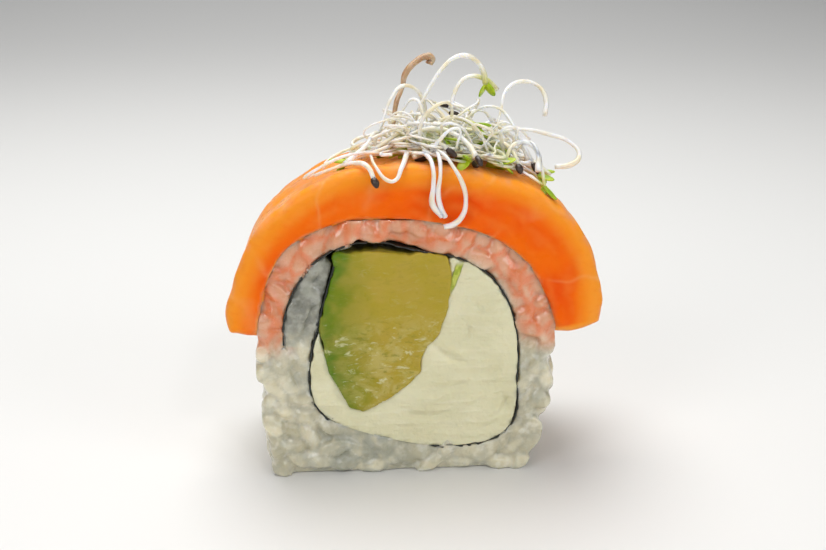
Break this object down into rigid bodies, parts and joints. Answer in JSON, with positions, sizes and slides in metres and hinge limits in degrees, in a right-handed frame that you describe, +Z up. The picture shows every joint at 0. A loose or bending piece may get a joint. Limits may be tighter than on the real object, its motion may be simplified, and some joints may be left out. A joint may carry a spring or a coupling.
{
  "type": "uramaki roll",
  "caption": "Slice of inside-out sushi roll: nori round cream cheese and avocado, rice outside, salmon draped on top, sprouts as garnish.",
  "frame": {"origin": "on the table, under the middle of the rice's flat side", "axes": "+Z up, +Y along the roll from the front cut face to the back one, +X to the right of the front cut face"},
  "size_m": [0.0511, 0.0266, 0.0564],
  "materials": {
    "rice": "moist, slightly see-through grains",
    "nori": "damp seaweed, black-green",
    "cream_cheese": "smooth with knife smears",
    "avocado": "moist flesh, green at the skin side",
    "salmon": "raw, wet, with pale fat lines",
    "sprouts": "see-through pale stems"
  },
  "bodies": {
    "root": {"rice": "rice", "nori": "nori", "cream_cheese": "cream_cheese", "avocado": "avocado", "salmon": "salmon", "sprouts": "sprouts"}
  },
  "joints": []
}
